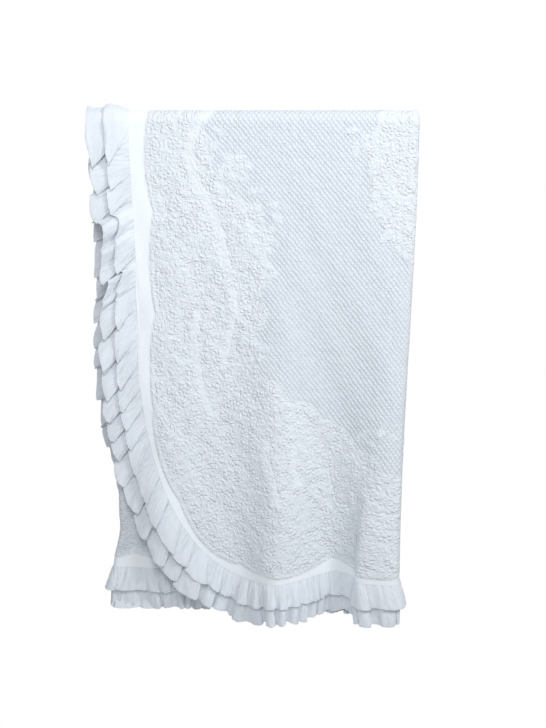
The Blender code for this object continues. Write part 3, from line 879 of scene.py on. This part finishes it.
def quilted_cotton(sizes, colours):
    """Matelasse: double-woven white cotton, its face puffed between woven stitch lines, so it is
    dull and soft, its colour brighter on the puffs and darkened by painted shade deep between them,
    over the diamond field and over the whole quilted ground."""
    material, tree, shader = new_material("woven matelasse cotton", 0.88, 0.12)
    flat = add(tree, "ShaderNodeUVMap", uv_map="cloth").outputs["UV"]
    masks = {name: add(tree, "ShaderNodeAttribute", attribute_name=name).outputs["Fac"]
             for name in ("field", "rosettes", "fan", "ground")}
    border = add(tree, "ShaderNodeUVMap", uv_map="border").outputs["UV"]
    along = add(tree, "ShaderNodeSeparateXYZ", {0: border}).outputs["X"]
    fan_phase = calc(tree, "MULTIPLY", along, 2 * math.pi / sizes.fan_pitch)

    # Hand of the loom: the rows wander by about a millimetre
    wander = add(tree, "ShaderNodeTexNoise", {"Vector": flat, "Scale": 45.0, "Detail": 1.0})
    shift = add(tree, "ShaderNodeVectorMath", {0: wander.outputs["Color"], 1: (0.5, 0.5, 0.5)},
                operation="SUBTRACT").outputs[0]
    shift = add(tree, "ShaderNodeVectorMath", {0: shift, "Scale": LOOM_WANDER},
                operation="SCALE").outputs[0]
    moved = add(tree, "ShaderNodeVectorMath", {0: flat, 1: shift}, operation="ADD").outputs[0]
    place = add(tree, "ShaderNodeSeparateXYZ", {0: moved})

    # Diamond field: two sets of slanting stitch lines
    across = calc(tree, "MULTIPLY", place.outputs["X"], math.pi / sizes.diamond_width)
    down = calc(tree, "MULTIPLY", place.outputs["Y"], math.pi / sizes.diamond_height)
    falling = calc(tree, "ABSOLUTE", calc(tree, "SINE", calc(tree, "SUBTRACT", across, down)))
    rising = calc(tree, "ABSOLUTE", calc(tree, "SINE", calc(tree, "ADD", across, down)))
    falling = calc(tree, "POWER", falling, 0.8)
    rising = calc(tree, "POWER", rising, 0.7)
    diamonds = calc(tree, "MULTIPLY", falling, calc(tree, "MULTIPLY_ADD", rising, 0.85, 0.15))

    # Rosettes: rings of short curved stitches round scattered middles
    cell = {"Vector": moved, "Scale": 1 / sizes.rosette, "Randomness": 0.9}
    middles = add(tree, "ShaderNodeTexVoronoi", cell, voronoi_dimensions="2D")
    local = add(tree, "ShaderNodeVectorMath", {0: moved, 1: middles.outputs["Position"]},
                operation="SUBTRACT").outputs[0]
    local = add(tree, "ShaderNodeSeparateXYZ", {0: local})
    angle = calc(tree, "ARCTAN2", local.outputs["Y"], local.outputs["X"])
    tint = add(tree, "ShaderNodeSeparateColor", {0: middles.outputs["Color"]}).outputs[0]
    reach = calc(tree, "MULTIPLY", middles.outputs["Distance"], sizes.rosette)
    ring = calc(tree, "MULTIPLY", reach, 2 * math.pi / sizes.stitch_pitch)
    rings = calc(tree, "MULTIPLY_ADD", calc(tree, "COSINE", ring), 0.5, 0.5)
    twist = calc(tree, "MULTIPLY_ADD", ring, 0.5, calc(tree, "MULTIPLY", tint, 6.28))
    beat = calc(tree, "MULTIPLY_ADD", angle, 7.0, twist)
    petals = calc(tree, "MULTIPLY_ADD", calc(tree, "SINE", beat), 0.5, 0.5)
    stitches = calc(tree, "MULTIPLY", calc(tree, "POWER", rings, 0.7),
                    calc(tree, "POWER", petals, 0.7))
    eye = calc(tree, "MULTIPLY_ADD", reach, -1 / (0.4 * sizes.stitch_pitch), 1.0, clamp=True)
    stitches = calc(tree, "MAXIMUM", stitches, eye)
    walls = add(tree, "ShaderNodeTexVoronoi", cell, voronoi_dimensions="2D",
                feature="DISTANCE_TO_EDGE")
    walled = calc(tree, "MULTIPLY", walls.outputs["Distance"], 9.0, clamp=True)
    rosettes = calc(tree, "MULTIPLY", calc(tree, "MULTIPLY", stitches, walled), 1.35)

    # Fans: a row of short stitches along the scalloped edge
    fans = calc(tree, "MULTIPLY_ADD", calc(tree, "SINE", fan_phase), 0.5, 0.5)

    # Pick stitches of the double weave
    picks = {"Vector": flat, "Scale": 1 / PICK_PITCH, "Randomness": 0.75}
    weave = add(tree, "ShaderNodeTexVoronoi", picks, voronoi_dimensions="2D").outputs["Distance"]
    picked = calc(tree, "MULTIPLY_ADD", masks["field"], 0.55,
                  calc(tree, "ADD", masks["rosettes"], 0.1))
    weave = calc(tree, "MULTIPLY", weave, picked)

    # Slack of the quilting: the ground between the motifs puffs up unevenly
    puffing = {"Vector": flat, "Scale": 1 / SLACK_SIZE, "Detail": 1.5}
    slack = add(tree, "ShaderNodeTexNoise", puffing, noise_dimensions="2D").outputs["Fac"]
    slack = calc(tree, "MULTIPLY", slack, calc(tree, "MULTIPLY_ADD", masks["field"], 0.35,
                                               calc(tree, "ADD", masks["rosettes"], 0.15)))

    puffs = calc(tree, "MULTIPLY", diamonds, calc(tree, "MULTIPLY", masks["field"], 1.2))
    puffs = calc(tree, "MULTIPLY_ADD", rosettes, masks["rosettes"], puffs)
    puffs = calc(tree, "MULTIPLY_ADD", calc(tree, "MULTIPLY", fans, 0.45), masks["fan"], puffs)
    deep = calc(tree, "MULTIPLY", puffs, sizes.stitch_relief)
    relief = calc(tree, "MULTIPLY_ADD", weave, -PICK_DEPTH, deep)
    relief = calc(tree, "MULTIPLY_ADD", slack, SLACK_HEIGHT, relief)
    bump = add(tree, "ShaderNodeBump", {"Height": relief, "Strength": 1.0, "Distance": 1.0})
    tree.links.new(bump.outputs[0], shader.inputs["Normal"])

    # Painted shade: the groove's colour darkens the diamond field, the whole quilted ground and the
    # hollows between the puffs
    quilted = calc(tree, "ADD", calc(tree, "ADD", masks["field"], masks["rosettes"]), masks["fan"])
    hollow = calc(tree, "SUBTRACT", quilted, puffs, clamp=True)
    shaded = calc(tree, "MULTIPLY_ADD", masks["field"], FIELD_PAINTED_SHADE,
                  calc(tree, "MULTIPLY", masks["ground"], GROUND_PAINTED_SHADE))
    shaded = calc(tree, "MULTIPLY_ADD", hollow, HOLLOW_PAINTED_SHADE, shaded)
    painted_light_mix = add(tree, "ShaderNodeMix", {0: shaded, 6: linear(colours.panel),
                                      7: linear(colours.groove)}, data_type="RGBA")
    tree.links.new(painted_light_mix.outputs[2], shader.inputs["Base Color"])
    return material


def ruffle_cotton(colours):
    """Fine plain-woven white cotton, washed and not ironed, so it is dull with faint creases
    running out of the gathers, and whiter where the hem doubles it, that whiteness partly a painted
    highlight on the rolled hem, with a line of painted shade along the hem's stitching."""
    material, tree, shader = new_material("plain woven cotton, gathered", 0.82, 0.10)
    flat = add(tree, "ShaderNodeUVMap", uv_map="cloth").outputs["UV"]
    hem = add(tree, "ShaderNodeAttribute", attribute_name="hem").outputs["Fac"]
    drawn = add(tree, "ShaderNodeMapping", {"Vector": flat, "Scale": (1.0, 0.22, 1.0)}).outputs[0]
    creases = add(tree, "ShaderNodeTexNoise", {"Vector": drawn, "Scale": 130.0, "Detail": 2.0,
                                               "Roughness": 0.45}).outputs[0]
    thread = {"Vector": flat, "Scale": 1 / THREAD_PITCH, "Randomness": 0.3}
    threads = add(tree, "ShaderNodeTexVoronoi", thread, voronoi_dimensions="2D").outputs["Distance"]
    relief = calc(tree, "MULTIPLY", creases, CREASE_HEIGHT)
    crumple = add(tree, "ShaderNodeTexNoise", {"Vector": drawn, "Scale": 62.0, "Detail": 1.0,
                                               "Distortion": 0.6}).outputs[0]
    relief = calc(tree, "MULTIPLY_ADD", crumple, CRUMPLE_HEIGHT, relief)
    relief = calc(tree, "MULTIPLY_ADD", threads, THREAD_HEIGHT, relief)
    bump = add(tree, "ShaderNodeBump", {"Height": relief, "Strength": 1.0, "Distance": 1.0})
    tree.links.new(bump.outputs[0], shader.inputs["Normal"])
    # The hem's lighter colour: the doubled cloth and a painted highlight on the roll
    painted_light_mix = add(tree, "ShaderNodeMix", {0: hem, 6: linear(colours.ruffle), 7: linear(colours.hem)},
              data_type="RGBA")
    # The hem's stitching: painted shade in the groove's colour, a line along the sunk thread at its
    # upper edge
    stitch_painted_shade = calc(tree, "MULTIPLY", calc(tree, "SUBTRACT", 1.0, hem),
                calc(tree, "MULTIPLY", hem, 2.2))
    painted_light_mix = add(tree, "ShaderNodeMix", {0: stitch_painted_shade, 6: painted_light_mix.outputs[2], 7: linear(colours.groove)},
              data_type="RGBA")
    tree.links.new(painted_light_mix.outputs[2], shader.inputs["Base Color"])
    return material


class BEDSPREAD_OT_cover(bpy.types.Operator):
    """Make the quilted panel in its folds, with its woven relief"""
    bl_idname = "bedspread.cover"
    bl_label = "Make quilted cover"

    def execute(self, context):
        sizes, colours = context.scene.bedspread_sizes, context.scene.bedspread_colours
        material = quilted_cotton(sizes, colours)
        widths = np.concatenate([
            [-EDGE_OVERLAP], spaced(0.0, S_RIGHT, 0.0042), spaced(S_RIGHT, S_MIDDLE, 0.0055),
            spaced(S_MIDDLE, S_LEFT, 0.045), spaced(S_LEFT, S_LAST, 0.0032),
            spaced(S_LAST, S_LAST + LAST_SHOWN, 0.0062), spaced(S_LAST + LAST_SHOWN, S_END, 0.03),
            [S_END, S_END + EDGE_OVERLAP]])
        shares = np.concatenate([
            -1 + spaced(0.0, 1.0, 0.0092 / HALF_LENGTH), spaced(0.0, 1.0, 0.0042 / HALF_LENGTH),
            [1.0]])
        mesh, column, row = cloth_mesh("quilted_cover", len(widths) - 1, len(shares) - 1)
        s = widths[column]
        share = shares[row]
        bend = 0.06
        limit = half_limit(s) + EDGE_OVERLAP
        fall = np.maximum(np.abs(share) - bend, 0.0) / (1 - bend)
        flat_top = bend * HALF_LENGTH
        length = np.where(np.abs(share) < bend, np.abs(share) * HALF_LENGTH,
                          flat_top + fall * (limit - flat_top))
        t = np.sign(share) * length
        # The fifth value weights the painted shade and goes on the cloth as its ground mask
        raised, field, rosettes, fan, ground, along = quilting(s, t)
        height = raised * sizes.puff
        points = hang(s, t) + face_normal(s, t) * height[:, None]
        uvs = {"cloth": np.stack([s, t], 1), "border": np.stack([along, fan], 1)}
        masks = {"field": field, "rosettes": rosettes, "fan": fan, "ground": ground}
        cover = finish_cloth(mesh, points, uvs, masks, material)
        face_outwards(cover)
        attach(cover, "root")
        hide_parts("quilted_panel_front", "quilted_panel_top", "quilted_panel_back")
        return {"FINISHED"}


class BEDSPREAD_OT_ruffles(bpy.types.Operator):
    """Make the two gathered tiers that are sewn round the panel's edge"""
    bl_idname = "bedspread.ruffles"
    bl_label = "Make ruffles"

    def execute(self, context):
        sizes, colours = context.scene.bedspread_sizes, context.scene.bedspread_colours
        material = ruffle_cotton(colours)
        for name, node, depth, step, rows, phase in (
                ("upper_tier", "ruffle_upper", UPPER_DEPTH, UPPER_STEP_HEM, 8, 0.0),
                ("lower_tier", "ruffle_lower", LOWER_DEPTH, LOWER_STEP_HEM, 11, 2.0)):
            piece, cloth_length = tier(name, depth, step, rows, phase, material, sizes)
            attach(piece, "root")
            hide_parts(*(f"{node}_{run}" for run in RUNS))
        return {"FINISHED"}


class BEDSPREAD_OT_stage(bpy.types.Operator):
    """Make the floor, the white surround, the soft lights and the camera"""
    bl_idname = "bedspread.stage"
    bl_label = "Make stage"

    def execute(self, context):
        stage, colours = context.scene.bedspread_stage, context.scene.bedspread_colours
        self.make_floor(stage, colours)
        self.make_surround(stage)
        for name, place, target, size in LIGHTS:
            self.make_light(name, place, target, size, getattr(stage, f"{name}_power"))
        self.make_camera(stage)
        context.scene.view_settings.view_transform = "Standard"
        return {"FINISHED"}

    def make_floor(self, stage, colours):
        shape = bmesh.new()
        bmesh.ops.create_circle(shape, cap_ends=True, segments=96, radius=FLOOR_RADIUS)
        for vert in shape.verts:
            vert.co.z = stage.floor_height
        mesh = bpy.data.meshes.new("floor")
        shape.to_mesh(mesh)
        shape.free()
        material, _, shader = new_material("matt white studio paint", 0.95, 0.0)
        shader.inputs["Base Color"].default_value = linear(colours.floor)
        mesh.materials.append(material)
        floor = bpy.data.objects.new("floor", mesh)
        bpy.context.scene.collection.objects.link(floor)

    def make_surround(self, stage):
        world = bpy.data.worlds.new("white room")
        world.use_nodes = True
        tree = world.node_tree
        tree.nodes.clear()
        seen = add(tree, "ShaderNodeBackground", {"Color": (1, 1, 1, 1), "Strength": 1.0})
        lit = add(tree, "ShaderNodeBackground", {"Color": (0.97, 0.983, 1.0, 1),
                                                 "Strength": stage.surround})
        path = add(tree, "ShaderNodeLightPath")
        both = add(tree, "ShaderNodeMixShader", {0: path.outputs["Is Camera Ray"],
                                                 1: lit.outputs[0], 2: seen.outputs[0]})
        add(tree, "ShaderNodeOutputWorld", {0: both.outputs[0]})
        bpy.context.scene.world = world

    def make_light(self, name, place, target, size, power):
        lamp = bpy.data.lights.new(name, "AREA")
        lamp.shape = "DISK"
        lamp.size = size
        lamp.energy = power
        light = bpy.data.objects.new(name, lamp)
        light.location = place
        light.rotation_euler = (Vector(target) - Vector(place)).to_track_quat("-Z", "Y").to_euler()
        bpy.context.scene.collection.objects.link(light)

    def make_camera(self, stage):
        lens = bpy.data.cameras.new("camera")
        lens.sensor_width = 36.0
        lens.lens = stage.lens
        camera = bpy.data.objects.new("camera", lens)
        camera.location = CAMERA_PLACE
        camera.rotation_euler = (math.pi / 2 - CAMERA_DOWN, 0.0, 0.0)
        bpy.context.scene.collection.objects.link(camera)
        bpy.context.scene.camera = camera


class BEDSPREAD_PT_sidebar(bpy.types.Panel):
    """Sizes, colours and makers of the bedspread"""
    bl_idname = "BEDSPREAD_PT_sidebar"
    bl_label = "Ruffled Bedspread"
    bl_space_type = "VIEW_3D"
    bl_region_type = "UI"
    bl_category = "Bedspread"

    def draw(self, context):
        layout = self.layout
        for group in (context.scene.bedspread_sizes, context.scene.bedspread_colours,
                      context.scene.bedspread_stage):
            box = layout.box()
            for name in group.__annotations__:
                box.prop(group, name)
        for maker in MAKERS:
            layout.operator(maker.bl_idname)


MAKERS = (BEDSPREAD_OT_stage, BEDSPREAD_OT_cover, BEDSPREAD_OT_ruffles)
GROUPS = {"bedspread_sizes": BedspreadSizes, "bedspread_colours": BedspreadColours,
          "bedspread_stage": BedspreadStage}


def register():
    for kind in (*GROUPS.values(), *MAKERS, BEDSPREAD_PT_sidebar):
        bpy.utils.register_class(kind)
    for name, group in GROUPS.items():
        setattr(bpy.types.Scene, name, bpy.props.PointerProperty(type=group))


def unregister():
    for name in GROUPS:
        delattr(bpy.types.Scene, name)
    for kind in (BEDSPREAD_PT_sidebar, *reversed(MAKERS), *reversed(GROUPS.values())):
        bpy.utils.unregister_class(kind)


def main():
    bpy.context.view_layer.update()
    register()
    bpy.ops.bedspread.stage()
    bpy.ops.bedspread.cover()
    bpy.ops.bedspread.ruffles()


if __name__ == "__main__":
    main()
